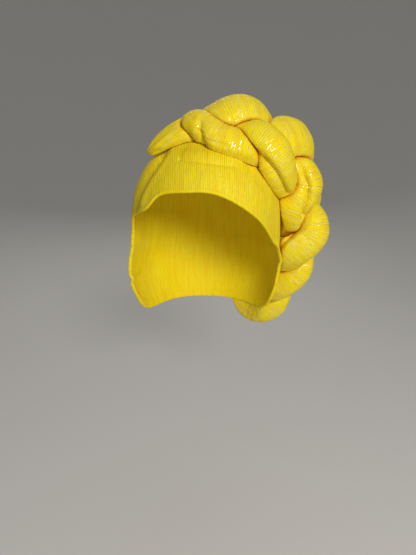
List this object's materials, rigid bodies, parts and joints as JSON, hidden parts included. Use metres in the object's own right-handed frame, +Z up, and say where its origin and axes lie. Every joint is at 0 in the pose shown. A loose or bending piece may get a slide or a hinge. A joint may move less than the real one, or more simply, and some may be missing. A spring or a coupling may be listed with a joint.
{
  "type": "turban",
  "caption": "Fitted cloth cap, open at the face and neck, with a thick stuffed plait sewn from the right temple over the top and down the left side to the nape.",
  "frame": {"origin": "inside of the crown, where it rests on the top of the head", "axes": "+Z up, +X to the wearer's left, the face towards -Y"},
  "size_m": [0.2247, 0.1899, 0.2678],
  "materials": {
    "cap_cloth": "yellow strip-woven cloth with fine silver metallic stripes down the cap",
    "plait_cloth": "the same yellow cloth, its silver stripes across each stuffed strand"
  },
  "bodies": {
    "root": {"cap": "cap_cloth", "plait_strand_a": "plait_cloth", "plait_strand_b": "plait_cloth", "plait_strand_c": "plait_cloth"}
  },
  "joints": []
}
